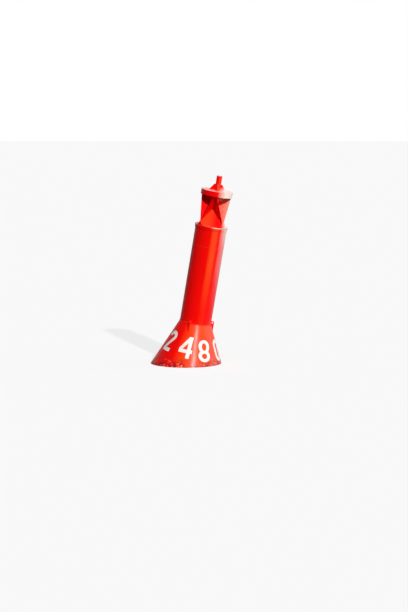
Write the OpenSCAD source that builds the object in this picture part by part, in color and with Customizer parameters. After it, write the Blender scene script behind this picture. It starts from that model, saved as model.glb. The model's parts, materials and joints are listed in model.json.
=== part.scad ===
// Steel pillar buoy with a conical hull, a built-in radar reflector and mooring gear
// Millimetres, +Z up along the buoy's axis, origin on the axis at the waterline

/* [Column] */
// Outside diameter of the column pipe
column_d = 508; // [420:1:600]
// Length of the long lower pipe, from the hull's cone to the seam
lower_pipe_h = 1260; // [800:10:1600]
// Length of the short upper pipe, from the seam to the reflector
upper_pipe_h = 321; // [200:1:500]

/* [Hull] */
// Height of the cone's top above the waterline
cone_top_h = 690; // [600:5:760]
// Angle between the cone's side and the buoy's axis, in degrees
cone_angle = 24.2; // [20:0.1:28]
// Diameter of the hull's belt, its widest part
belt_d = 1280; // [1220:10:1400]
// Height of the belt
belt_h = 250; // [150:10:400]
// Height of the lower cone
bottom_cone_h = 500; // [350:10:650]
// Roundness of the belt's lower knuckle
belt_round_r = 18; // [5:1:30]

/* [Radar reflector] */
// Clear height between the reflector's base plate and top plate
reflector_h = 563; // [460:1:660]
// Height of the lower corners above the base plate; below them the lower pyramid is cut to the column's round
foot_h = 61; // [20:1:100]
// Thickness of the base plate and the top plate
cap_t = 8; // [6:1:14]
// Depth of the skirts that hang from both plates
skirt_h = 40; // [30:1:80]
// Thickness of the skirts
skirt_t = 8; // [5:1:12]
// Thickness of the fins
fin_t = 8; // [5:1:12]
// Gap between the fins' upper corners and the top skirt
fin_gap = 2; // [1:0.5:6]

/* [Top post] */
// Outside diameter of the post
post_d = 88.9; // [70:0.1:110]
// Height of the post above the top plate
post_h = 235; // [180:5:320]
// Outside diameter of the post's foot, a socket as high as the gussets
post_foot_d = 101.6; // [90:0.1:120]
// How far the post's gussets reach from the axis
gusset_reach = 125; // [90:1:170]
// Height of the post's gussets
gusset_h = 100; // [60:1:140]
// Thickness of the post's gussets
gusset_t = 10; // [6:1:14]
// Width of the flat toe at the gussets' ends
gusset_toe = 14; // [6:1:24]

/* [Lifting lugs] */
// Thickness of a lifting lug
lug_t = 16; // [10:1:24]
// How far a lug stands out from the column
lug_out = 52; // [44:1:80]
// Height of a lug's top above the cone's top
lug_rise = 44; // [30:1:70]
// Diameter of a lug's hole
lug_hole_d = 26; // [16:1:30]
// Direction of the first lug, in degrees from +X
lug_turn = 75; // [0:1:119]
// Roundness of a lug's outer corner
lug_corner_r = 14; // [6:1:18]

/* [Tail] */
// Outside diameter of the tail tube
tail_d = 324; // [270:1:400]
// Length of the tail tube below its flange
tail_h = 1480; // [1200:10:1800]
// How far the two flanges stand out from the tail tube
flange_out = 75; // [60:1:90]
// Thickness of each flange
flange_t = 22; // [16:1:30]
// Height of the gussets under the tail's flange
tail_gusset_h = 160; // [100:5:240]
// Thickness of the tail's gussets
tail_gusset_t = 12; // [8:1:20]
// How far the tail's gussets stand out from the tail tube
tail_gusset_out = 60; // [40:1:60]
// Diameter of the ballast discs
ballast_d = 620; // [540:10:760]
// Thickness of one ballast disc
ballast_t = 62; // [40:1:75]
// Gap between the ballast discs' bore and the tail tube
ballast_fit = 0.6; // [0.3:0.1:0.9]
// Bevel of the ballast discs' rims
ballast_bevel = 8; // [2:1:14]
// Thickness of the rings that hold the ballast
ballast_ring_t = 16; // [10:1:24]
// How far the rings stand out from the tail tube
ballast_ring_out = 60; // [40:5:90]
// Thickness of the plate that closes the tail
bottom_t = 26; // [18:1:36]
// Height of the bare tube between the ballast and the bottom plate
tail_bare_h = 90; // [40:5:160]

/* [Mooring eye] */
// Thickness of the mooring eye's plate
eye_t = 40; // [30:1:48]
// Radius of the mooring eye's round end
eye_r = 72; // [60:1:80]
// Height of the bottom plate above the eye's bore
eye_drop = 128; // [110:1:160]
// Thickness of the brackets beside the eye
bracket_t = 16; // [10:1:24]
// How far the brackets reach from the axis
bracket_reach = 110; // [80:1:140]
// Height of the brackets
bracket_h = 52; // [30:1:60]

/* [Shackle] */
// Diameter of the shackle's pin
pin_d = 44; // [34:1:50]
// Gap around the pin in its bores
pin_fit = 0.4; // [0.3:0.1:0.6]
// Diameter of the shackle's rod
rod_d = 44; // [36:1:50]
// Gap between the shackle's ears and the mooring eye, each side
jaw_gap = 6; // [5:0.5:10]
// Distance between the shackle's pin and the middle of its bow
bow_drop = 158; // [150:1:190]
// Diameter of the shackle's ears
ear_d = 100; // [84:1:110]
// Diameter of the pin's head
pin_head_d = 72; // [60:1:84]
// Thickness of the pin's head
pin_head_t = 20; // [12:1:30]
// Thickness of the pin's nut
pin_nut_t = 30; // [20:1:40]

/* [Swivel] */
// Diameter of the rod that forms the swivel's upper eye
loop_rod_d = 36; // [30:1:40]
// Clear width of the swivel's upper eye
loop_d = 76; // [72:1:90]
// Gap between the bow's rod and the nut inside the upper eye
nut_room = 8; // [5:1:16]
// Gap where the upper eye hangs on the bow
hang_gap = 0.3; // [0.2:0.1:0.5]
// Diameter of the swivel's collar
collar_d = 72; // [60:1:84]
// Height of the swivel's collar
collar_h = 46; // [40:1:60]
// Diameter of the swivel's shank
shank_d = 32; // [24:1:40]
// Gap around the shank and at the collar's two faces
shank_fit = 0.3; // [0.2:0.1:0.5]
// Width of the shank's nut across its corners
shank_nut_d = 56; // [48:1:60]
// Thickness of the shank's nut
shank_nut_t = 20; // [14:1:22]
// Thickness of the shoulder below the collar
shoulder_t = 14; // [10:1:24]
// Distance between the shoulder and the lower eye's bore
lower_eye_drop = 72; // [62:1:100]
// Thickness of the lower eye
lower_eye_t = 34; // [26:1:44]
// Outside radius of the lower eye
lower_eye_r = 50; // [44:1:58]
// Diameter of the lower eye's bore
lower_bore_d = 48; // [40:1:56]

/* [Hidden] */
$fn = 96;

paint = "red";
coating = [0.16, 0.07, 0.06];
iron = [0.3, 0.29, 0.28];

// Column and reflector
column_r = column_d / 2;
seam_z = cone_top_h + lower_pipe_h;
pipe_top_z = seam_z + upper_pipe_h;
base_z = pipe_top_z + cap_t;
roof_z = base_z + reflector_h;
top_z = roof_z + cap_t;
foot_z = base_z + foot_h;
half_h = (roof_z - foot_z) / 2;
heart_z = foot_z + half_h;
base_r = column_r + skirt_t;
foot_r = column_r;
crown_r = column_r - skirt_t - fin_gap;
sides = 4;

// Hull
belt_r = belt_d / 2;
cone_slope = tan(cone_angle);
belt_top_z = cone_top_h - (belt_r - column_r) / cone_slope;
belt_bottom_z = belt_top_z - belt_h;
tail_r = tail_d / 2;
flange_r = tail_r + flange_out;
hull_bottom_z = belt_bottom_z - bottom_cone_h;

// Lifting lugs
lugs = 3;
lug_r = column_r + lug_out;
lug_top_z = cone_top_h + lug_rise;
lug_hole_r = lug_hole_d / 2;
lug_hole_at = column_r + lug_out / 2;
lug_hole_z = lug_top_z - lug_out / 2;

// Tail, from the flanges down
split_z = hull_bottom_z - flange_t;
tail_top_z = split_z - flange_t;
tail_bottom_z = tail_top_z - tail_h;
discs = 4;
stack_bottom_z = tail_bottom_z + tail_bare_h;
ballast_bottom_z = stack_bottom_z + ballast_ring_t;
ballast_top_z = ballast_bottom_z + discs * ballast_t;
bottom_z = tail_bottom_z - bottom_t;

// Mooring eye and shackle
pin_r = pin_d / 2;
rod_r = rod_d / 2;
pin_z = bottom_z - eye_drop;
jaw = eye_t / 2 + jaw_gap;
leg_x = jaw + rod_r;
bow_z = pin_z - bow_drop;
bend_z = bow_z + leg_x;
ear_out = jaw + rod_d;

// Swivel, hung on the bow
loop_r = loop_d / 2;
loop_rod_r = loop_rod_d / 2;
loop_z = bow_z + rod_r + hang_gap - loop_r;
leg_y = loop_r + loop_rod_r;
nut_z = bow_z - rod_r - nut_room - shank_nut_t;
collar_top_z = nut_z - shank_fit;
collar_bottom_z = collar_top_z - collar_h;
bridge_z = collar_top_z - collar_h / 2;
shank_r = shank_d / 2;
shoulder_z = collar_bottom_z - shank_fit;
shoulder_r = shank_nut_d / 2;
lower_bore_z = shoulder_z - shoulder_t - lower_eye_drop;

// A ring with a round bore
module ring(r, bore_r, h) {
    difference() {
        cylinder(r = r, h = h);
        translate([0, 0, -1]) cylinder(r = bore_r, h = h + 2);
    }
}

// Copies turned about the axis
module around(count, first = 0) {
    for (i = [0 : count - 1]) rotate([0, 0, first + i * 360 / count]) children();
}

// A radial plate from an outline of radius and height
module radial_plate(outline, thick) {
    rotate([90, 0, 0]) linear_extrude(height = thick, center = true) polygon(outline);
}

// Lower pipe of the column
module lower_pipe() {
    color(paint) translate([0, 0, cone_top_h]) cylinder(r = column_r, h = lower_pipe_h);
}

// Upper pipe of the column
module upper_pipe() {
    color(paint) translate([0, 0, seam_z]) cylinder(r = column_r, h = upper_pipe_h);
}

// Base plate of the reflector, a lid on the pipe
module reflector_base() {
    color(paint) translate([0, 0, pipe_top_z]) cylinder(r = base_r, h = cap_t);
}

// Skirt of the base plate, down over the pipe
module base_skirt() {
    color(paint) translate([0, 0, pipe_top_z - skirt_h]) ring(base_r, column_r, skirt_h);
}

// Square pyramid, point up, on the base plate, cut to the column's round at its foot
module lower_pyramid() {
    full_h = heart_z - base_z;
    color(paint) translate([0, 0, base_z]) intersection() {
        rotate([0, 0, 180 / sides]) cylinder(r1 = foot_r * full_h / half_h, r2 = 0, h = full_h, $fn = sides);
        cylinder(r = foot_r, h = full_h);
    }
}

// Square pyramid, point down, under the top plate
module upper_pyramid() {
    color(paint) translate([0, 0, heart_z])
        cylinder(r1 = 0, r2 = crown_r, h = half_h, $fn = sides);
}

// One flat triangle between the heart and two corners, given from the heart; it runs on into both pyramids
module web(crown, foot, thick) {
    overlap = 4 * thick;
    along = crown / norm(crown);
    normal = cross(crown, foot) / norm(cross(crown, foot));
    across = cross(normal, along);
    turn = [
        [along.x, across.x, normal.x, 0],
        [along.y, across.y, normal.y, 0],
        [along.z, across.z, normal.z, 0],
        [0, 0, 0, 1]
    ];
    low = [foot * along, foot * across];
    aside = [-low.y, low.x] * overlap / norm(low);
    multmatrix(turn) linear_extrude(height = thick, center = true)
        polygon([[0, 0], [norm(crown), -overlap], [norm(crown), 0], low, low + aside]);
}

// One of the eight fins in its eighth of the turn, cut to the pyramids, to the mitres with its
// neighbours and to the skirt; two fins, one on each side, start from each upper corner
module fin(number) {
    corner = ceil(number / 2) - 1;
    side = number % 2 == 1 ? -1 : 1;
    half_side = 180 / sides;
    reach = 2 * column_r;
    color(paint) rotate([0, 0, corner * 360 / sides]) difference() {
        intersection() {
            translate([0, 0, heart_z]) web(
                [crown_r, 0, half_h],
                [foot_r * cos(half_side), side * foot_r * sin(half_side), -half_h],
                fin_t
            );
            translate([0, 0, foot_z]) linear_extrude(height = 2 * half_h)
                polygon([[0, 0], [reach, 0], [reach, side * reach * tan(half_side)]]);
            translate([0, 0, foot_z]) cylinder(r = foot_r + fin_gap / 2, h = 2 * half_h);
        }
        lower_pyramid();
        upper_pyramid();
        translate([0, 0, roof_z - skirt_h]) ring(column_r + skirt_t, crown_r + fin_gap / 2, skirt_h);
    }
}

// Skirt of the top plate, inside which the fins' upper corners end
module top_skirt() {
    color(paint) translate([0, 0, roof_z - skirt_h]) ring(column_r, column_r - skirt_t, skirt_h);
}

// Top plate of the reflector
module reflector_top() {
    color(paint) translate([0, 0, roof_z]) cylinder(r = column_r, h = cap_t);
}

// Post on the top plate, in a socket as high as the gussets
module top_post() {
    color(paint) translate([0, 0, top_z]) {
        cylinder(r = post_d / 2, h = post_h);
        cylinder(r = post_foot_d / 2, h = gusset_h);
    }
}

// Four gussets round the post, in line with the reflector's upper corners
module post_gussets() {
    outline = [
        [0, 0], [gusset_reach, 0], [gusset_reach, gusset_toe],
        [post_foot_d / 2 + gusset_toe, gusset_h], [0, gusset_h]
    ];
    color(paint) translate([0, 0, top_z]) difference() {
        around(sides) radial_plate(outline, gusset_t);
        translate([0, 0, -1]) cylinder(r = post_foot_d / 2, h = gusset_h + 2);
    }
}

// Cone of the hull, from the column down to the belt
module upper_cone() {
    color(paint) translate([0, 0, belt_top_z])
        cylinder(r1 = belt_r, r2 = column_r, h = cone_top_h - belt_top_z);
}

// Lifting lugs in the corner between the column and the cone
module lifting_lugs() {
    lug_foot_z = cone_top_h - lug_out / cone_slope;
    color(paint) difference() {
        around(lugs, lug_turn) difference() {
            rotate([90, 0, 0]) linear_extrude(height = lug_t, center = true) {
                translate([0, lug_foot_z]) square([lug_r, lug_top_z - lug_corner_r - lug_foot_z]);
                translate([0, lug_foot_z]) square([lug_r - lug_corner_r, lug_top_z - lug_foot_z]);
                translate([lug_r - lug_corner_r, lug_top_z - lug_corner_r]) circle(r = lug_corner_r);
            }
            translate([lug_hole_at, 0, lug_hole_z]) rotate([90, 0, 0])
                cylinder(r = lug_hole_r, h = lug_t + 2, center = true);
        }
        translate([0, 0, cone_top_h]) cylinder(r = column_r, h = lug_rise + 1);
        upper_cone();
    }
}

// Belt of the hull with a rounded lower knuckle
module belt() {
    color(paint) rotate_extrude() union() {
        translate([0, belt_bottom_z]) square([belt_r - belt_round_r, belt_h]);
        translate([0, belt_bottom_z + belt_round_r]) square([belt_r, belt_h - belt_round_r]);
        translate([belt_r - belt_round_r, belt_bottom_z + belt_round_r]) circle(r = belt_round_r);
    }
}

// Lower cone of the hull, down to its flange
module lower_cone() {
    color(coating) translate([0, 0, hull_bottom_z])
        cylinder(r1 = tail_r, r2 = belt_r - belt_round_r, h = bottom_cone_h);
}

// Flange under the hull
module hull_flange() {
    color(coating) translate([0, 0, split_z]) cylinder(r = flange_r, h = flange_t);
}

// Flange on top of the tail
module tail_flange() {
    color(coating) translate([0, 0, tail_top_z]) cylinder(r = flange_r, h = flange_t);
}

// Tail tube that carries the ballast
module tail_tube() {
    color(coating) translate([0, 0, tail_bottom_z]) cylinder(r = tail_r, h = tail_h);
}

// Gussets between the tail tube and its flange
module tail_gussets() {
    outline = [
        [0, 0], [tail_r + tail_gusset_out, 0], [tail_r + tail_gusset_out, -gusset_toe],
        [tail_r + gusset_toe, -tail_gusset_h], [0, -tail_gusset_h]
    ];
    color(coating) translate([0, 0, tail_top_z]) difference() {
        around(sides) radial_plate(outline, tail_gusset_t);
        translate([0, 0, -tail_gusset_h - 1]) cylinder(r = tail_r, h = tail_gusset_h + 2);
    }
}

// Ring welded on the tail tube above the ballast
module ballast_top_ring() {
    color(coating) translate([0, 0, ballast_top_z]) ring(tail_r + ballast_ring_out, tail_r, ballast_ring_t);
}

// Ring welded on the tail tube that carries the ballast
module ballast_bottom_ring() {
    color(coating) translate([0, 0, stack_bottom_z]) ring(tail_r + ballast_ring_out, tail_r, ballast_ring_t);
}

// One ballast disc, counted from the bottom
module ballast_disc(level) {
    r = ballast_d / 2;
    bore_r = tail_r + ballast_fit;
    color(iron) translate([0, 0, ballast_bottom_z + (level - 1) * ballast_t]) rotate_extrude()
        polygon([
            [bore_r, 0], [r - ballast_bevel, 0], [r, ballast_bevel],
            [r, ballast_t - ballast_bevel], [r - ballast_bevel, ballast_t], [bore_r, ballast_t]
        ]);
}

// Plate that closes the tail
module bottom_plate() {
    color(coating) translate([0, 0, bottom_z]) cylinder(r = tail_r + bottom_t, h = bottom_t);
}

// Mooring eye under the bottom plate
module mooring_eye() {
    color(coating) translate([0, 0, pin_z]) rotate([90, 0, 90])
        linear_extrude(height = eye_t, center = true) difference() {
            union() {
                circle(r = eye_r);
                translate([-eye_r, 0]) square([2 * eye_r, eye_drop]);
            }
            circle(r = pin_r + pin_fit);
        }
}

// Brackets on both faces of the mooring eye, above the shackle's ears
module eye_brackets() {
    outline = [
        [eye_t / 2, 0], [bracket_reach, 0], [bracket_reach, -gusset_toe],
        [eye_t / 2 + gusset_toe, -bracket_h], [eye_t / 2, -bracket_h]
    ];
    color(coating) translate([0, 0, bottom_z]) around(2) radial_plate(outline, bracket_t);
}

// Shackle without its pin: two ears, two legs and a round bend
module shackle_bow() {
    color(iron) difference() {
        union() {
            for (side = [-1, 1]) {
                translate([side * leg_x, 0, pin_z]) rotate([0, 90, 0])
                    cylinder(r = ear_d / 2, h = rod_d, center = true);
                translate([side * leg_x, 0, bend_z]) cylinder(r = rod_r, h = pin_z - bend_z);
            }
            translate([0, 0, bend_z]) rotate([90, 0, 0]) rotate([0, 0, 180])
                rotate_extrude(angle = 180) translate([leg_x, 0]) circle(r = rod_r);
        }
        translate([0, 0, pin_z]) rotate([0, 90, 0])
            cylinder(r = pin_r + pin_fit, h = 2 * ear_out + 2, center = true);
    }
}

// Pin of the shackle with its head and nut
module shackle_pin() {
    color(iron) translate([0, 0, pin_z]) rotate([0, 90, 0]) {
        translate([0, 0, -ear_out - pin_fit]) cylinder(r = pin_r, h = 2 * (ear_out + pin_fit) + pin_nut_t);
        translate([0, 0, -ear_out - pin_fit - pin_head_t]) cylinder(r = pin_head_d / 2, h = pin_head_t);
        translate([0, 0, ear_out + pin_fit]) cylinder(r = pin_head_d / 2, h = pin_nut_t, $fn = 6);
    }
}

// Upper half of the swivel: a round bend, two legs and a bridge with a bored collar
module swivel_head() {
    color(iron) difference() {
        union() {
            translate([0, 0, loop_z]) rotate([90, 0, 90])
                rotate_extrude(angle = 180) translate([leg_y, 0]) circle(r = loop_rod_r);
            for (side = [-1, 1]) translate([0, side * leg_y, bridge_z]) {
                cylinder(r = loop_rod_r, h = loop_z - bridge_z);
                sphere(r = loop_rod_r);
            }
            translate([0, 0, bridge_z]) rotate([90, 0, 0])
                cylinder(r = loop_rod_r, h = 2 * leg_y, center = true);
            translate([0, 0, collar_bottom_z]) cylinder(r = collar_d / 2, h = collar_h);
        }
        translate([0, 0, collar_bottom_z - 1]) cylinder(r = shank_r + shank_fit, h = collar_h + 2);
    }
}

// Lower half of the swivel: a shank, a shoulder and a flat eye
module swivel_eye() {
    color(iron) {
        translate([0, 0, shoulder_z]) cylinder(r = shank_r, h = nut_z - shoulder_z + shank_nut_t);
        translate([0, 0, shoulder_z - shoulder_t]) cylinder(r = shoulder_r, h = shoulder_t);
        translate([0, 0, lower_bore_z]) rotate([90, 0, 0])
            linear_extrude(height = lower_eye_t, center = true) difference() {
                union() {
                    circle(r = lower_eye_r);
                    translate([-shank_r, 0]) square([shank_d, lower_eye_drop]);
                }
                circle(r = lower_bore_d / 2);
            }
    }
}

// Nut that holds the shank inside the upper eye
module swivel_nut() {
    color(iron) translate([0, 0, nut_z]) difference() {
        cylinder(r = shank_nut_d / 2, h = shank_nut_t, $fn = 6);
        translate([0, 0, -1]) cylinder(r = shank_r, h = shank_nut_t + 2);
    }
}

lower_pipe();
upper_pipe();
base_skirt();
reflector_base();
lower_pyramid();
upper_pyramid();
fin(1);  // fin_1
fin(2);  // fin_2
fin(3);  // fin_3
fin(4);  // fin_4
fin(5);  // fin_5
fin(6);  // fin_6
fin(7);  // fin_7
fin(8);  // fin_8
top_skirt();
reflector_top();
top_post();
post_gussets();
upper_cone();
lifting_lugs();
belt();
lower_cone();
hull_flange();
tail_flange();
tail_tube();
tail_gussets();
ballast_top_ring();
ballast_disc(1);  // ballast_1
ballast_disc(2);  // ballast_2
ballast_disc(3);  // ballast_3
ballast_disc(4);  // ballast_4
ballast_bottom_ring();
bottom_plate();
mooring_eye();
eye_brackets();
shackle_bow();
shackle_pin();
swivel_head();
swivel_eye();
swivel_nut();
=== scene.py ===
"""Looks of the pillar buoy: paint, digits, welds, bolts, skirt band, floor, light and camera."""

import json
import math
import random

import bmesh
import bpy
from mathutils import Matrix, Vector


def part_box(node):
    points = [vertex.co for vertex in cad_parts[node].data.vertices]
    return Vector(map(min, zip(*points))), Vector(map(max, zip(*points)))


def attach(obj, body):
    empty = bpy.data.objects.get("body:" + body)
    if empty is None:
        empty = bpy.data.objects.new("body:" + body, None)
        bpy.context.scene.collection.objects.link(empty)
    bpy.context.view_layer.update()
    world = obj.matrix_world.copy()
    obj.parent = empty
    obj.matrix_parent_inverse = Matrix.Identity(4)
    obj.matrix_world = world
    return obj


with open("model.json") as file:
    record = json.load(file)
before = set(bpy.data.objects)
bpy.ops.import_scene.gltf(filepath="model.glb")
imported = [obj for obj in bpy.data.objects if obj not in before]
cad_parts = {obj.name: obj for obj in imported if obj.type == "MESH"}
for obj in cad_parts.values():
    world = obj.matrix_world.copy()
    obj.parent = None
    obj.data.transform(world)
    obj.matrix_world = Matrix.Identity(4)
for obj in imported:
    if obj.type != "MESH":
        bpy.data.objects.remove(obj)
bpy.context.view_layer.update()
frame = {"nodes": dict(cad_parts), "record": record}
nodes = frame["nodes"]
MM = 0.001

# The photograph and its camera, in pixels, radians and metres
PHOTO_W = 408
PHOTO_H = 612
FOCAL_PX = 1750
ORIGIN_PX = (188.6, 363.0)
CAMERA_PITCH = math.radians(6.2)
CAMERA_DEPTH = 28.4
SENSOR_MM = 36
VIEW_END = 1000

# The buoy's lean, and the direction from +X that it turns to the camera
LEAN_RIGHT = math.radians(9.35)
LEAN_NEAR = math.radians(4)
FACING = math.radians(93.5)

# Sizes read from the frame
COLUMN_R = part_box("lower_pipe")[1].x
CONE_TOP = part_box("upper_cone")[1].z
CONE_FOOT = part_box("upper_cone")[0].z
CONE_FOOT_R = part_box("upper_cone")[1].x
CONE_SLOPE = (CONE_FOOT_R - COLUMN_R) / (CONE_TOP - CONE_FOOT)
SEAM_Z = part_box("lower_pipe")[1].z
BASE_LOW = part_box("base_skirt")[0].z
BASE_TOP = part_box("reflector_base")[1].z
BASE_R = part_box("reflector_base")[1].x
FOOT_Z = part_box("fin_1")[0].z
HEART_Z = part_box("upper_pyramid")[0].z
ROOF_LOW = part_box("upper_pyramid")[1].z
SKIRT_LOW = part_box("top_skirt")[0].z
ROOF_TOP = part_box("reflector_top")[1].z
CROWN_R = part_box("upper_pyramid")[1].x
SOCKET_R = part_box("top_post")[1].x
GUSSET_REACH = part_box("post_gussets")[1].x
GUSSET_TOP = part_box("post_gussets")[1].z
LUG_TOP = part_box("lifting_lugs")[1].z
HULL_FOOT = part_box("lower_cone")[0].z
TAIL_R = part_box("tail_tube")[1].x
FLANGE_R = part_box("hull_flange")[1].x


def lean_matrix():
    """Turns a direction of the photograph's world (right, away, up) into the model's frame."""
    axis = Vector((math.tan(LEAN_RIGHT), -math.tan(LEAN_NEAR), 1)).normalized()
    near = Vector((0, -1, 0))
    front = (near - axis * near.dot(axis)).normalized()
    right = axis.cross(front)
    x_axis = front * math.cos(FACING) - right * math.sin(FACING)
    y_axis = axis.cross(x_axis)
    return Matrix((x_axis, y_axis, axis))


LEAN = lean_matrix()
UP = LEAN @ Vector((0, 0, 1))
RIGHT_SIDE = Vector((-math.sin(FACING), math.cos(FACING), 0))


def from_photo(azimuth, elevation):
    """Direction in the model's frame; azimuth 0 is towards the camera and 90 to the photograph's right."""
    turn = math.radians(azimuth)
    rise = math.radians(elevation)
    return LEAN @ Vector((math.sin(turn) * math.cos(rise), -math.cos(turn) * math.cos(rise), math.sin(rise)))


class Paint:
    """The node tree of a material or of the world, with a method for each kind of node in use."""

    def __init__(self, owner):
        owner.use_nodes = True
        self.owner = owner
        self.nodes = owner.node_tree.nodes
        self.links = owner.node_tree.links

    def feed(self, socket, value):
        """Joins an input to another node's output, or gives it a plain colour or number."""
        if isinstance(value, bpy.types.NodeSocket):
            self.links.new(value, socket)
        elif isinstance(value, tuple):
            socket.default_value = (*value, 1)
        else:
            socket.default_value = value

    def set(self, name, value):
        """Feeds an input of the Principled shader."""
        self.feed(self.nodes["Principled BSDF"].inputs[name], value)

    def noise(self, scale, detail=4, stretch=(1, 1, 1)):
        """Noise in the object's own space; stretch squeezes it along each axis."""
        place = self.nodes.new("ShaderNodeTexCoord")
        mapping = self.nodes.new("ShaderNodeMapping")
        texture = self.nodes.new("ShaderNodeTexNoise")
        mapping.inputs["Scale"].default_value = stretch
        self.feed(texture.inputs["Scale"], scale)
        self.feed(texture.inputs["Detail"], detail)
        self.feed(mapping.inputs["Vector"], place.outputs["Object"])
        self.feed(texture.inputs["Vector"], mapping.outputs["Vector"])
        return texture.outputs["Fac"]

    def ramp(self, source, stops):
        """Colours along a value, as (place, colour) pairs."""
        made = self.nodes.new("ShaderNodeValToRGB")
        elements = made.color_ramp.elements
        while len(elements) < len(stops):
            elements.new(0.5)
        for element, (place, colour) in zip(elements, stops):
            element.position = place
            element.color = (*colour, 1)
        self.feed(made.inputs["Fac"], source)
        return made.outputs["Color"]

    def fade(self, source, stops, strength=1):
        """Greys along a value, as (place, grey) pairs, with each grey times a strength."""
        return self.ramp(source, [(place, (grey * strength,) * 3) for place, grey in stops])

    def mix(self, factor, first, second):
        """Blends two colours by a factor; a colour is a socket or a plain tuple."""
        made = self.nodes.new("ShaderNodeMix")
        made.data_type = "RGBA"
        self.feed(made.inputs["Factor"], factor)
        self.feed(made.inputs["A"], first)
        self.feed(made.inputs["B"], second)
        return made.outputs["Result"]

    def blend(self, factor, first, second):
        """Blends two shaders by a factor."""
        made = self.nodes.new("ShaderNodeMixShader")
        self.feed(made.inputs["Fac"], factor)
        self.feed(made.inputs[1], first)
        self.feed(made.inputs[2], second)
        return made.outputs["Shader"]

    def maths(self, operation, first, second):
        """Result of one operation on two values."""
        made = self.nodes.new("ShaderNodeMath")
        made.operation = operation
        self.feed(made.inputs[0], first)
        self.feed(made.inputs[1], second)
        return made.outputs["Value"]

    def times(self, first, second):
        """Product of two values."""
        return self.maths("MULTIPLY", first, second)

    def along(self, output, direction, low, high):
        """0 to 1 as a coordinate output, measured along a direction, goes from low to high."""
        place = self.nodes.new("ShaderNodeTexCoord")
        product = self.nodes.new("ShaderNodeVectorMath")
        product.operation = "DOT_PRODUCT"
        product.inputs[1].default_value = direction
        spread = self.nodes.new("ShaderNodeMapRange")
        self.feed(spread.inputs["From Min"], low)
        self.feed(spread.inputs["From Max"], high)
        self.feed(product.inputs[0], place.outputs[output])
        self.feed(spread.inputs["Value"], product.outputs["Value"])
        return spread.outputs["Result"]

    def height(self, low, high):
        """0 at the height low above the water and 1 at the height high, in metres."""
        return self.along("Object", UP, low, high)

    def to_right(self, low, high):
        """0 at the distance low from the axis to the photograph's right and 1 at high, in metres."""
        return self.along("Object", RIGHT_SIDE, low, high)

    def facing(self, azimuth, elevation, low, high):
        """0 to 1 as the surface turns towards a direction of the photograph."""
        return self.along("Normal", from_photo(azimuth, elevation), low, high)

    def bump(self, source, strength, distance):
        """Joins a height to the shader's normal."""
        made = self.nodes.new("ShaderNodeBump")
        self.feed(made.inputs["Strength"], strength)
        self.feed(made.inputs["Distance"], distance)
        self.feed(made.inputs["Height"], source)
        self.set("Normal", made.outputs["Normal"])

    def seen_rays(self):
        """1 for camera, glossy and transmission rays, else 0."""
        path = self.nodes.new("ShaderNodeLightPath")
        total = path.outputs["Is Camera Ray"]
        for name in ("Is Glossy Ray", "Is Transmission Ray"):
            total = self.maths("MAXIMUM", total, path.outputs[name])
        return total


def new_paint(name):
    """A new material of one name, with its Principled shader."""
    return Paint(bpy.data.materials.new(name))


RED = (1, 0.003, 0.002)
DEEP_RED = (0.92, 0.001, 0.002)
# Slightly darker red of the copies with painted shade
SHADE_PAINTED_RED = (0.96, 0.002, 0.002)
# Orange of painted sunlight and of a painted highlight band up the column
SUNLIT_ORANGE = (1, 0.065, 0.01)
# Pale colour of painted glare on the right
GLARE_PALE = (1, 0.82, 0.75)
# Pink of a painted sky reflection on level faces
SKY_SHEEN_PINK = (1, 0.42, 0.42)
# Salmon of painted glare on the reflector's plates
GLARE_SALMON = (1, 0.3, 0.2)
WET_RED = (0.34, 0.004, 0.005)
SALT = (0.95, 0.5, 0.44)
# Pale colour of a painted glint on the base plate's rim
RIM_GLINT = (1, 0.68, 0.45)

# Directions of the photograph, as azimuth and elevation in degrees, and the cosines of the angle to
# them between which a face begins to count and counts in full
# Faces that take painted sunlight, and faces that take a painted highlight band up the column
SUNNY_FACES = (30, 42, 0.64, 0.81)
HIGHLIGHT_BAND_FACES = (17, -7, 0.965, 0.998)
# Faces that take a painted sky reflection
LEVEL_FACES = (0, 90, 0.9, 0.97)
# Faces of the plates that take painted glare
OPEN_PLATES = (-26, 30, 0.7, 0.9)
GLOSSY_FACES = (50, 20, 0.6, 1)

# Distances from the axis to the photograph's right between which a colour begins and is full, and the
# distance over which the painted sunlight fades where it ends
# Where painted glare lies on the right, in streaks down the column and on the top skirt
GLARE_SIDE = (0.15, 0.25)
SKIRT_GLARE_SIDE = (0.02, 0.14)
# Where painted glare lies on the reflector's plates
GLARE_SALMON_SIDE = (0.04, 0.09)
# Where the painted glint lies on the base plate's rim
RIM_GLINT_SIDE = (-0.02, 0.06)
SUNLIGHT_FADE = 0.1

# Heights above the water between which a colour changes
# Where the painted highlight band climbs the column
HIGHLIGHT_BAND_HEIGHTS = (0.9, 1.6)
# Heights of the painted sky reflection on the reflector
LEVEL_HEIGHTS = (2.1, 2.2)
# Heights of the painted glare on the right and on the top skirt
GLARE_HEIGHTS = (0.9, 2.2)
SKIRT_GLARE_HEIGHTS = (2.62, 2.86)
WET_HEIGHTS = (0.02, 0.15)
SALT_HEIGHTS = (-0.04, 0.15)

# How strong a colour is along its heights, as (place, strength) pairs
HIGHLIGHT_BAND_CLIMB = ((0, 0.15), (1, 1))
# Strength of the painted glare up the right side and on the top skirt
GLARE_CLIMB = ((0, 0), (0.3, 0.12), (0.55, 0.4), (0.75, 0.42), (0.94, 1))
SKIRT_GLARE_CLIMB = ((0, 0), (0.1, 1), (0.8, 1), (1, 0))
WET_CLIMB = ((0, 1), (1, 0))
SALT_CLIMB = ((0, 0), (0.2, 1), (0.3, 1), (1, 0))

# How strong a colour is along a noise, as (place, strength) pairs
# Patches of the painted sunlight
SUNLIGHT_PATCHES = ((0.3, 0.7), (0.55, 1))
# Streaks of the painted glare on the right
GLARE_STREAKS = ((0.35, 0.75), (0.6, 1))
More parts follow.
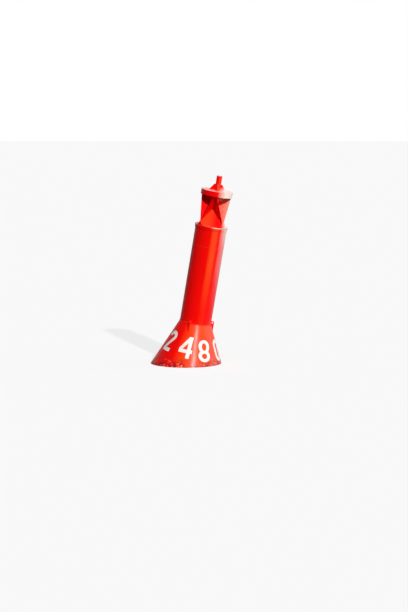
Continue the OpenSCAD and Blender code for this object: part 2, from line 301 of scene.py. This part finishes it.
# Streaks of the painted glare on the plates
GLARE_SALMON_STREAKS = ((0.35, 0.5), (0.6, 1))
WET_PATCHES = ((0.42, 0.1), (0.56, 0.95))
SALT_FLECKS = ((0.58, 0), (0.68, 0.8))
# Breaks in the painted glint on the rim
RIM_GLINT_BREAKS = ((0.36, 0.3), (0.5, 1))

# Where along the streaks the deep red ends and the plain red begins
DEEP_PLACE = 0.26
PLAIN_PLACE = 0.42

# The red paint's roughness along its streaks, and its gloss where it faces away from GLOSSY_FACES
ROUGH_STREAKS = ((0.35, 0.26), (0.7, 0.36))
LOW_GLOSS = 0.04


def painted_sunlight(paint, body, patches, sunlight_strength, painted_shadow_edge):
    """Painted sunlight: orange in patches on the sunny faces, up to a distance to the right, and a painted
    highlight as an orange band up the column.
    """
    sunlit_share = paint.times(paint.facing(*SUNNY_FACES), paint.fade(patches, SUNLIGHT_PATCHES, sunlight_strength))
    if painted_shadow_edge is not None:
        # Painted shadow: the painted sunlight stops past this distance to the right, where a fin shades the
        # lower pyramid
        sunlit_share = paint.times(sunlit_share, paint.to_right(painted_shadow_edge, painted_shadow_edge - SUNLIGHT_FADE))
    body = paint.mix(sunlit_share, body, SUNLIT_ORANGE)
    # Painted highlight: an orange band up the column
    highlight_band = paint.times(
        paint.facing(*HIGHLIGHT_BAND_FACES),
        paint.fade(paint.height(*HIGHLIGHT_BAND_HEIGHTS), HIGHLIGHT_BAND_CLIMB, sunlight_strength),
    )
    return paint.mix(highlight_band, body, SUNLIT_ORANGE)


def painted_sky_sheen(paint, body):
    """Painted sky reflection: pink on the level faces of the reflector."""
    level = paint.times(paint.facing(*LEVEL_FACES), paint.height(*LEVEL_HEIGHTS))
    return paint.mix(level, body, SKY_SHEEN_PINK)


def painted_glare_on_right(paint, body, streaks):
    """Painted glare: pale streaks on the right, stronger further up, and a pale top skirt there."""
    glare_by_height = paint.fade(paint.height(*GLARE_HEIGHTS), GLARE_CLIMB)
    glare = paint.times(paint.to_right(*GLARE_SIDE), glare_by_height)
    glare = paint.times(glare, paint.fade(streaks, GLARE_STREAKS))
    body = paint.mix(glare, body, GLARE_PALE)
    # Painted glare on the top skirt at the right
    skirt_glare = paint.times(
        paint.to_right(*SKIRT_GLARE_SIDE),
        paint.fade(paint.height(*SKIRT_GLARE_HEIGHTS), SKIRT_GLARE_CLIMB),
    )
    return paint.mix(skirt_glare, body, GLARE_PALE)


def painted_glare_on_plates(paint, body, streaks):
    """Painted glare: pale streaks on the reflector's plates to the right that open to the camera and the
    sky.
    """
    plates = paint.times(paint.to_right(*GLARE_SALMON_SIDE), paint.facing(*OPEN_PLATES))
    plates = paint.times(plates, paint.fade(streaks, GLARE_SALMON_STREAKS))
    return paint.mix(plates, body, GLARE_SALMON)


def wet_at_water(paint, body, splash, flecks):
    """Dark wet patches and flecks of salt at the waterline."""
    band = paint.fade(paint.height(*WET_HEIGHTS), WET_CLIMB)
    dirt = paint.times(band, paint.fade(splash, WET_PATCHES))
    body = paint.mix(dirt, body, WET_RED)
    splashed = paint.fade(paint.height(*SALT_HEIGHTS), SALT_CLIMB)
    salt = paint.times(splashed, paint.fade(flecks, SALT_FLECKS))
    return paint.mix(salt, body, SALT)


def red_paint(name, sunlight_strength, plain=RED, shine=0.24, painted_shadow_edge=None, glare_on_plates=False):
    """Signal red with painted light: painted sunlight in orange, a painted sky reflection in pink on level
    faces, painted glare in pale streaks on the right; and wet at the water.
    """
    paint = new_paint(name)
    streaks = paint.noise(scale=5, detail=5, stretch=(6, 6, 0.5))
    patches = paint.noise(scale=3, detail=4)
    splash = paint.noise(scale=14, detail=6, stretch=(1, 1, 0.7))
    flecks = paint.noise(scale=32, detail=3, stretch=(1, 1, 1.4))
    body = paint.ramp(streaks, ((DEEP_PLACE, DEEP_RED), (PLAIN_PLACE, plain)))
    body = painted_sunlight(paint, body, patches, sunlight_strength, painted_shadow_edge)
    body = painted_sky_sheen(paint, body)
    body = painted_glare_on_right(paint, body, streaks)
    # Painted glare on the reflector's plates
    if glare_on_plates:
        body = painted_glare_on_plates(paint, body, streaks)
    paint.set("Base Color", wet_at_water(paint, body, splash, flecks))
    paint.set("Roughness", paint.fade(streaks, ROUGH_STREAKS))
    gloss = paint.fade(paint.facing(*GLOSSY_FACES), ((0, LOW_GLOSS), (1, shine)))
    paint.set("Specular IOR Level", gloss)
    paint.bump(paint.noise(scale=4, detail=2), strength=0.1, distance=0.01)
    return paint.owner


def rim_glint_paint():
    """Red with a painted glint, pale and broken up on the photograph's right, for the rim of the reflector's
    base plate.
    """
    paint = new_paint("rim_glint_paint")
    # The side of the rim that takes the painted glint
    worn = paint.to_right(*RIM_GLINT_SIDE)
    glint_breaks = paint.fade(paint.noise(scale=16), RIM_GLINT_BREAKS)
    paint.set("Base Color", paint.mix(paint.times(worn, glint_breaks), RED, RIM_GLINT))
    paint.set("Roughness", 0.35)
    paint.set("Specular IOR Level", 0.2)
    return paint.owner


# Colours along a noise, as (place, colour) pairs
WHITE_TONES = ((0.3, (0.84, 0.76, 0.7)), (0.5, (0.89, 0.87, 0.84)))
GROWTH_TONES = ((0.4, (0.055, 0.02, 0.017)), (0.55, (0.05, 0.042, 0.02)), (0.7, (0.09, 0.1, 0.04)))
RUST_TONES = ((0.42, (0.06, 0.055, 0.052)), (0.55, (0.12, 0.06, 0.035)), (0.7, (0.2, 0.08, 0.03)))
ZINC_TONES = ((0.45, (0.33, 0.34, 0.34)), (0.62, (0.27, 0.2, 0.16)), (0.74, (0.25, 0.1, 0.04)))

# How metallic the mooring gear is along its rust, as (place, share) pairs
ZINC_WEAR = ((0.5, 0.85), (0.65, 0.1))


def white_paint():
    """Slightly warm white of the digits, with fine worn patches."""
    paint = new_paint("white_paint")
    paint.set("Base Color", paint.ramp(paint.noise(scale=30, detail=5), WHITE_TONES))
    paint.set("Roughness", 0.4)
    return paint.owner


def coating():
    """Dark underwater coating with thin patches of growth."""
    paint = new_paint("bottom_coating")
    paint.set("Base Color", paint.ramp(paint.noise(scale=7, detail=8), GROWTH_TONES))
    paint.set("Roughness", 0.75)
    paint.bump(paint.noise(scale=60, detail=6), strength=0.35, distance=0.004)
    return paint.owner


def cast_iron():
    """Rough cast ballast with rust."""
    paint = new_paint("cast_ballast")
    paint.set("Base Color", paint.ramp(paint.noise(scale=12, detail=8), RUST_TONES))
    paint.set("Roughness", 0.8)
    paint.bump(paint.noise(scale=90, detail=6), strength=0.5, distance=0.003)
    return paint.owner


def forged_steel():
    """Galvanised mooring gear, dull, with patches of rust."""
    paint = new_paint("forged_steel")
    rust = paint.noise(scale=25, detail=8)
    paint.set("Base Color", paint.ramp(rust, ZINC_TONES))
    paint.set("Metallic", paint.fade(rust, ZINC_WEAR))
    paint.set("Roughness", 0.55)
    paint.bump(paint.noise(scale=120, detail=4), strength=0.3, distance=0.002)
    return paint.owner


FINISHES = {
    "red_paint": red_paint("red_paint", sunlight_strength=1),
    # Copies of the red with painted shade: no painted sunlight and little gloss on the fins and upper
    # pyramid, less painted sunlight and a painted fin shadow on the lower pyramid
    "shade_painted_red": red_paint(
        "shade_painted_red", sunlight_strength=0, plain=SHADE_PAINTED_RED, shine=0.06, glare_on_plates=True
    ),
    "half_shade_painted_red": red_paint("half_shade_painted_red", sunlight_strength=0.7, painted_shadow_edge=0.06),
    "rim_glint_paint": rim_glint_paint(),
    "white_paint": white_paint(),
    "bottom_coating": coating(),
    "cast_ballast": cast_iron(),
    "forged_steel": forged_steel(),
}

# Nodes of the reflector that get the copies of the red with painted shade, without the painted sunlight
SHADE_PAINTED = {f"fin_{i}": "shade_painted_red" for i in range(1, 9)}
SHADE_PAINTED |= {"upper_pyramid": "shade_painted_red", "lower_pyramid": "half_shade_painted_red"}


def dress_frame():
    """Gives each CAD node the finish of its material slot in the record, or its copy of the red with painted
    shade.
    """
    for entry in frame["record"]["subparts"]:
        name = entry["node"]
        slots = nodes[name].data.materials
        slots.clear()
        slots.append(FINISHES[SHADE_PAINTED.get(name, entry["material_slot"])])


def to_mesh(data, name):
    """Turns finished bmesh data into a mesh."""
    mesh = bpy.data.meshes.new(name)
    data.to_mesh(mesh)
    data.free()
    return mesh


def add_object(name, content):
    """Puts a mesh, curve, lamp or camera into the scene."""
    made = bpy.data.objects.new(name, content)
    bpy.context.scene.collection.objects.link(made)
    return made


def add_piece(name, mesh, finish, body="buoy", smooth=True, slot=None):
    """Puts a mesh into the scene on a body, with a finish; its material slot is not used."""
    piece = add_object(name, mesh)
    mesh.materials.append(FINISHES[finish])
    mesh.polygons.foreach_set("use_smooth", [smooth] * len(mesh.polygons))
    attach(piece, body)
    slot = slot or finish
    return piece


def ring_point(radius, degrees, z):
    """Point at a radius, direction and height from the buoy's axis."""
    return Vector((radius * math.cos(math.radians(degrees)), radius * math.sin(math.radians(degrees)), z))


def circle(radius, z, steps=120):
    """Points of a level circle round the buoy's axis."""
    return [ring_point(radius, 360 * i / steps, z) for i in range(steps)]


def segment(start, end, step=0.02):
    """Points along a straight line, about a step apart."""
    count = max(2, round((end - start).length / step))
    return [start.lerp(end, i / count) for i in range(count + 1)]


# Smallest and largest share of its radius that a bead takes along its way, and its sides
BEAD_SHARES = (0.88, 1.12)
BEAD_SIDES = 8


def tube(data, path, radius, closed, rng):
    """Adds a rod with a slightly uneven radius along a path, as a weld bead has."""
    count = len(path)
    rings = []
    side = None
    for i, point in enumerate(path):
        before = path[(i - 1) % count] if closed or i else point
        after = path[(i + 1) % count] if closed or i < count - 1 else point
        forward = (after - before).normalized()
        aside = forward.orthogonal().normalized() if side is None else side - forward * side.dot(forward)
        side = aside.normalized()
        other = forward.cross(side)
        size = radius * rng.uniform(*BEAD_SHARES)
        ring = []
        for k in range(BEAD_SIDES):
            turn = 2 * math.pi * k / BEAD_SIDES
            ring.append(data.verts.new(point + size * (side * math.cos(turn) + other * math.sin(turn))))
        rings.append(ring)
    for i in range(count if closed else count - 1):
        low = rings[i]
        high = rings[(i + 1) % count]
        for k in range(BEAD_SIDES):
            beside = (k + 1) % BEAD_SIDES
            data.faces.new((low[k], low[beside], high[beside], high[k]))
    if not closed:
        data.faces.new(reversed(rings[0]))
        data.faces.new(rings[-1])


def weld(name, paths, bead, seed, finish="red_paint", slot=None):
    """A weld bead along each (path, closed) pair, as one piece."""
    rng = random.Random(seed)
    data = bmesh.new()
    for path, closed in paths:
        tube(data, path, bead, closed, rng)
    return add_piece(name, to_mesh(data, name), finish, slot=slot)


def ring_weld(name, ring, bead, seed, finish="red_paint", slot=None):
    """A weld bead along one closed ring."""
    return weld(name, [(ring, True)], bead, seed, finish, slot)


# Radii of the weld beads
FINE_BEAD = 3.5 * MM
SLIM_BEAD = 4 * MM
BEAD = 5 * MM
HULL_BEAD = 6 * MM
RIM_BEAD = 7 * MM
FOOT_BEAD = 8 * MM


def add_welds():
    """Weld beads of the column, the hull, the reflector and the post, partly sunk in what they join."""
    ring_weld("weld_column_seam", circle(COLUMN_R - MM, SEAM_Z), FINE_BEAD, seed=1)
    ring_weld("weld_column_foot", circle(COLUMN_R, CONE_TOP), FOOT_BEAD, seed=2)
    ring_weld("weld_base_skirt", circle(COLUMN_R + 2 * MM, BASE_LOW - MM), BEAD, seed=3)
    rim = circle(BASE_R, BASE_TOP - 5 * MM)
    # The base plate's rim bead carries a painted glint
    ring_weld("weld_base_rim", rim, RIM_BEAD, seed=11, finish="rim_glint_paint", slot="red_paint")
    ring_weld("weld_belt", circle(CONE_FOOT_R - 2 * MM, CONE_FOOT), HULL_BEAD, seed=4)
    ring_weld("weld_post", circle(SOCKET_R + MM, ROOF_TOP, steps=60), SLIM_BEAD, seed=5)
    flange_ring = circle(TAIL_R + 4 * MM, HULL_FOOT)
    ring_weld("weld_hull_flange", flange_ring, HULL_BEAD, seed=6, finish="bottom_coating")
    weld("weld_pyramids", pyramid_paths(), SLIM_BEAD, seed=7)
    weld("weld_fins", fin_paths(), SLIM_BEAD, seed=8)
    weld("weld_lugs", lug_paths(), BEAD, seed=9)
    weld("weld_post_gussets", gusset_paths(), FINE_BEAD, seed=10)


def crown_points():
    """Upper corners of the upper pyramid, under the top plate."""
    return [ring_point(CROWN_R, 90 * i, ROOF_LOW) for i in range(4)]


def pyramid_paths():
    """Beads round the upper pyramid under the top plate and round the lower pyramid's foot."""
    crowns = crown_points()
    edges = [(segment(crowns[i], crowns[(i + 1) % 4]), False) for i in range(4)]
    return edges + [(pyramid_foot(), True)]


def pyramid_foot(steps=160):
    """Outline of the lower pyramid on the base plate: a square cut to the column's round."""
    half_side = COLUMN_R * math.cos(math.pi / 4) * (HEART_Z - BASE_TOP) / (HEART_Z - FOOT_Z)
    path = []
    for i in range(steps):
        degrees = 360 * i / steps
        aside = math.radians((degrees + 45) % 90 - 45)
        radius = min(COLUMN_R - 3 * MM, half_side / math.cos(aside))
        path.append(ring_point(radius, degrees, BASE_TOP + MM))
    return path


# Share of a fin's edge that has no bead, at its outer end
FIN_BEAD_GAP = 0.06


def fin_paths():
    """Beads from the pyramids' meeting point along the fins, all but the outer end of each edge."""
    heart = Vector((0, 0, HEART_Z))
    feet = [ring_point(COLUMN_R, 45 + 90 * i, FOOT_Z) for i in range(4)]
    return [(segment(heart, end.lerp(heart, FIN_BEAD_GAP)), False) for end in crown_points() + feet]


# The lugs' directions, half their thickness, their reach, and how far a bead's middle stands off
LUG_TURNS = (75, 195, 315)
LUG_HALF_T = 8 * MM
LUG_OUT = 50 * MM
LUG_BEAD_OFF = 2 * MM


def lug_paths():
    """Beads on both faces of each lug, down the column and out along the cone."""
    paths = []
    for degrees in LUG_TURNS:
        for side in (-1, 1):
            across = ring_point(side * (LUG_HALF_T + LUG_BEAD_OFF), degrees + 90, 0)
            inner = ring_point(COLUMN_R, degrees, 0) + across
            outer = ring_point(COLUMN_R + LUG_OUT, degrees, 0) + across
            top = inner + Vector((0, 0, LUG_TOP))
            corner = inner + Vector((0, 0, CONE_TOP + LUG_BEAD_OFF))
            end = outer + Vector((0, 0, CONE_TOP - LUG_OUT / CONE_SLOPE + LUG_BEAD_OFF))
            paths.append((segment(top, corner) + segment(corner, end)[1:], False))
    return paths


# Half a gusset's thickness, and how far a bead's middle stands off
GUSSET_HALF_T = 5 * MM
GUSSET_BEAD_OFF = MM


def gusset_paths():
    """Beads on both faces of each gusset of the post, along the top plate and up the socket."""
    paths = []
    for i in range(4):
        for side in (-1, 1):
            across = ring_point(side * (GUSSET_HALF_T + GUSSET_BEAD_OFF), 90 * i + 90, 0)
            toe = ring_point(GUSSET_REACH, 90 * i, ROOF_TOP) + across
            corner = ring_point(SOCKET_R, 90 * i, ROOF_TOP) + across
            top = ring_point(SOCKET_R, 90 * i, GUSSET_TOP) + across
            paths.append((segment(toe, corner) + segment(corner, top)[1:], False))
    return paths


# Height and thickness of the skirt band
BAND_H = 34 * MM
BAND_T = 7 * MM
SHARP_ANGLE = math.radians(40)


def add_skirt_band():
    """Band that lengthens the skirt of the top plate downwards."""
    inner_r = COLUMN_R - BAND_T
    low = SKIRT_LOW - BAND_H
    corners = ((COLUMN_R, SKIRT_LOW), (COLUMN_R, low), (inner_r, low), (inner_r, SKIRT_LOW))
    data = bmesh.new()
    rings = [[data.verts.new(point) for point in circle(radius, z)] for radius, z in corners]
    for i, ring in enumerate(rings):
        after = rings[(i + 1) % len(rings)]
        for k in range(len(ring)):
            data.faces.new((ring[k - 1], after[k - 1], after[k], ring[k]))
    bmesh.ops.recalc_face_normals(data, faces=data.faces)
    mesh = to_mesh(data, "skirt_band")
    mesh.set_sharp_from_angle(angle=SHARP_ANGLE)
    add_piece("skirt_band", mesh, "red_paint")


def arc(centre_x, centre_y, radius_x, radius_y, start, end, steps=14):
    """Points of an arc from one direction to another, in degrees."""
    points = []
    for i in range(steps + 1):
        turn = math.radians(start + (end - start) * i / steps)
        points.append((centre_x + radius_x * math.cos(turn), centre_y + radius_y * math.sin(turn)))
    return points


def oval(centre_x, centre_y, radius_x, radius_y):
    """Points of a closed oval."""
    return arc(centre_x, centre_y, radius_x, radius_y, 0, 360, 32)[:-1]


def digit_two(width, height, stroke):
    """Outline of a plain 2."""
    r = width / 2
    outer = arc(r, height - r, r, r, 180, -30)
    inner = arc(r, height - r, r - stroke, r - stroke, -30, 180)
    foot = [(stroke * 1.25, stroke), (width, stroke), (width, 0), (0, 0), (0, stroke * 0.8)]
    return [outer + foot + inner]


def digit_four(width, height, stroke):
    """Outline of a plain 4 and its counter."""
    stem = width - stroke * 1.5
    bar = height * 0.24
    over_bar = bar + stroke
    right = [(stem, 0), (stem + stroke, 0), (stem + stroke, bar), (width, bar), (width, over_bar)]
    top = [(stem + stroke, over_bar), (stem + stroke, height), (stem, height)]
    left = [(0, over_bar), (0, bar), (stem, bar)]
    counter = [(stroke * 0.95, over_bar), (stem, over_bar), (stem, height - stroke * 1.9)]
    return [right + top + left, counter]


def digit_eight(width, height, stroke):
    """Outline of a plain 8 and its two counters."""
    middle = width / 2
    low = height * 0.53
    top = height - low + stroke
    top_r = width * 0.46
    right = arc(middle, low / 2, middle, low / 2, -90, 55)
    right += arc(middle, height - top / 2, top_r, top / 2, -50, 90)
    left = [(width - x, y) for x, y in reversed(right)]
    low_counter = oval(middle, low / 2, middle - stroke, low / 2 - stroke * 0.9)
    top_counter = oval(middle, height - top / 2, top_r - stroke, top / 2 - stroke * 0.9)
    return [right + left[1:-1], low_counter, top_counter]


def digit_zero(width, height, stroke):
    """Outline of a plain 0 and its counter."""
    r = width / 2
    outer = arc(r, height - r, r, r, 0, 180) + arc(r, r, r, r, 180, 360)
    inner = arc(r, height - r, r - stroke, r - stroke, 0, 180) + arc(r, r, r - stroke, r - stroke, 180, 360)
    return [outer, inner]


# Size of the digits along the cone's slope, and how they are cut and laid on it
DIGIT_H = 0.358
DIGIT_STROKE = 0.058
DIGIT_LIFT = 0.8 * MM
DIGIT_STRIPS = 24

# Each digit's outline, its width, its turn from the front in degrees and its foot's height
DIGITS = (
    (digit_two, 0.19, -60, 0.2),
    (digit_four, 0.222, -12, 0.168),
    (digit_eight, 0.215, 30, 0.147),
    (digit_zero, 0.185, 74, 0.147),
)


def on_cone(u, v, degrees, foot_z):
    """Place on the cone's skin: u sideways and v up its slope from a digit's foot, at a direction."""
    slope = math.atan(CONE_SLOPE)
    z = foot_z + v * math.cos(slope)
    radius = COLUMN_R + (CONE_TOP - z) * CONE_SLOPE
    angle = math.radians(degrees) + u / radius
    out = Vector((math.cos(angle) * math.cos(slope), math.sin(angle) * math.cos(slope), math.sin(slope)))
    return Vector((radius * math.cos(angle), radius * math.sin(angle), z)) + out * DIGIT_LIFT


def filled(name, outlines):
    """Flat mesh inside closed outlines, with the inner ones as holes."""
    curve = bpy.data.curves.new(name, "CURVE")
    curve.dimensions = "2D"
    curve.fill_mode = "BOTH"
    for outline in outlines:
        spline = curve.splines.new("POLY")
        spline.points.add(len(outline) - 1)
        for point, (x, y) in zip(spline.points, outline):
            point.co = (x, y, 0, 1)
        spline.use_cyclic_u = True
    flat = add_object(name + "_flat", curve)
    bpy.context.view_layer.update()
    mesh = bpy.data.meshes.new_from_object(flat.evaluated_get(bpy.context.evaluated_depsgraph_get()))
    bpy.data.objects.remove(flat)
    return mesh


def add_digit(name, outlines, width, degrees, foot_z):
    """A digit's outlines filled, cut into narrow strips and laid on the cone."""
    data = bmesh.new()
    data.from_mesh(filled(name, outlines))
    for i in range(1, DIGIT_STRIPS):
        x = width * i / DIGIT_STRIPS
        parts = data.verts[:] + data.edges[:] + data.faces[:]
        bmesh.ops.bisect_plane(data, geom=parts, plane_co=(x, 0, 0), plane_no=(1, 0, 0))
    for vert in data.verts:
        vert.co = on_cone(vert.co.x - width / 2, vert.co.y, degrees, foot_z)
    bmesh.ops.recalc_face_normals(data, faces=data.faces)
    for face in data.faces:
        middle = face.calc_center_median()
        if face.normal.dot(Vector((middle.x, middle.y, 0))) < 0:
            face.normal_flip()
    return add_piece(name, to_mesh(data, name), "white_paint", smooth=False)


def add_digits():
    """Plain digits round the cone."""
    front = math.degrees(FACING)
    for i, (outline, width, turn, foot_z) in enumerate(DIGITS):
        add_digit(f"digit_{i + 1}", outline(width, DIGIT_H, DIGIT_STROKE), width, front + turn, foot_z)


# The flange bolts; the first one's direction in degrees, and their ends' reach below the flanges
BOLTS = 12
BOLT_TURN = 15
BOLT_INSET = 26 * MM
BOLT_R = 11 * MM
BOLT_END_H = 12 * MM
BOLT_REACH = 30 * MM
NUT_R = 20 * MM
NUT_H = 19 * MM
HEAD_H = 15 * MM


def hexagon(data, centre, radius, height, turn=0):
    """Adds a hexagon prism standing on its centre."""
    low = [data.verts.new(centre + ring_point(radius, turn + 60 * k, 0)) for k in range(6)]
    high = [data.verts.new(centre + ring_point(radius, turn + 60 * k, height)) for k in range(6)]
    for k in range(6):
        beside = (k + 1) % 6
        data.faces.new((low[k], low[beside], high[beside], high[k]))
    data.faces.new(reversed(low))
    data.faces.new(high)


def add_flange_bolts():
    """Bolts with heads above and nuts below the two flanges, clear of the gussets."""
    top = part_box("hull_flange")[1].z
    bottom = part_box("tail_flange")[0].z
    circle_r = FLANGE_R - BOLT_INSET
    data = bmesh.new()
    for i in range(BOLTS):
        turn = BOLT_TURN + 360 / BOLTS * i
        hexagon(data, ring_point(circle_r, turn, top), NUT_R, HEAD_H, turn)
        hexagon(data, ring_point(circle_r, turn, bottom - NUT_H), NUT_R, NUT_H, turn)
        hexagon(data, ring_point(circle_r, turn, bottom - BOLT_REACH), BOLT_R, BOLT_END_H)
    add_piece("flange_bolts", to_mesh(data, "flange_bolts"), "bottom_coating", smooth=False)


WATER = (0.1, 0.12, 0.13)
PALE = (0.97, 0.97, 0.97)
FLOOR_R = 250
FLOOR_SIDES = 96
FLOOR_GLOW = 0.79


def floor_paint():
    """Pale and partly glowing where it is seen, and dark as water in the light that it sends back."""
    paint = new_paint("floor")
    paint.nodes.remove(paint.nodes["Principled BSDF"])
    seen = paint.seen_rays()
    diffuse = paint.nodes.new("ShaderNodeBsdfDiffuse")
    paint.feed(diffuse.inputs["Color"], paint.mix(seen, WATER, PALE))
    glow = paint.nodes.new("ShaderNodeEmission")
    surface = paint.blend(paint.times(seen, FLOOR_GLOW), diffuse.outputs["BSDF"], glow.outputs["Emission"])
    paint.feed(paint.nodes["Material Output"].inputs["Surface"], surface)
    return paint.owner


def add_floor():
    """Round floor at the waterline, level in the photograph's world."""
    data = bmesh.new()
    bmesh.ops.create_circle(data, cap_ends=True, segments=FLOOR_SIDES, radius=FLOOR_R)
    mesh = to_mesh(data, "floor")
    floor = add_object("floor", mesh)
    floor.matrix_world = LEAN.to_4x4()
    mesh.materials.append(floor_paint())


SKY = (0.86, 0.93, 1)
SKY_STRENGTH = 0.2
WHITE = (1, 1, 1)

# Azimuth and elevation in the photograph, strength, softness in degrees and colour
SUN = (22, 30, 3.2, 1.5, (1, 0.98, 0.95))
HAZE = (98, 12, 0.8, 50, (1, 0.98, 0.96))


def add_world():
    """Soft sky light, with a white background where it is seen."""
    world = bpy.data.worlds.new("world")
    bpy.context.scene.world = world
    paint = Paint(world)
    sky = paint.nodes["Background"]
    paint.feed(sky.inputs["Color"], SKY)
    paint.feed(sky.inputs["Strength"], SKY_STRENGTH)
    white = paint.nodes.new("ShaderNodeBackground")
    paint.feed(white.inputs["Color"], WHITE)
    surface = paint.blend(paint.seen_rays(), sky.outputs["Background"], white.outputs["Background"])
    paint.feed(paint.nodes["World Output"].inputs["Surface"], surface)


def add_sun(name, azimuth, elevation, strength, softness, colour):
    """A sun lamp that shines from a direction of the photograph."""
    lamp = bpy.data.lights.new(name, "SUN")
    lamp.energy = strength
    lamp.angle = math.radians(softness)
    lamp.color = colour
    lamp_object = add_object(name, lamp)
    lamp_object.rotation_mode = "QUATERNION"
    lamp_object.rotation_quaternion = from_photo(azimuth, elevation).to_track_quat("Z", "Y")


def add_camera():
    """The photograph's camera."""
    data = bpy.data.cameras.new("camera")
    data.sensor_width = SENSOR_MM
    data.lens = FOCAL_PX / PHOTO_H * SENSOR_MM
    data.clip_end = VIEW_END
    forward = Vector((0, math.cos(CAMERA_PITCH), -math.sin(CAMERA_PITCH)))
    right = Vector((1, 0, 0))
    up = right.cross(forward)
    aside = (ORIGIN_PX[0] - PHOTO_W / 2) / FOCAL_PX
    above = (PHOTO_H / 2 - ORIGIN_PX[1]) / FOCAL_PX
    place = -CAMERA_DEPTH * (forward + right * aside + up * above)
    turn = LEAN @ Matrix((right, up, -forward)).transposed()
    camera = add_object("camera", data)
    camera.matrix_world = Matrix.LocRotScale(LEAN @ place, turn.to_quaternion(), None)
    bpy.context.scene.camera = camera


dress_frame()
add_welds()
add_skirt_band()
add_digits()
add_flange_bolts()
add_floor()
add_world()
add_sun("sun", *SUN)
add_sun("haze", *HAZE)
add_camera()
bpy.context.scene.view_settings.view_transform = "Standard"
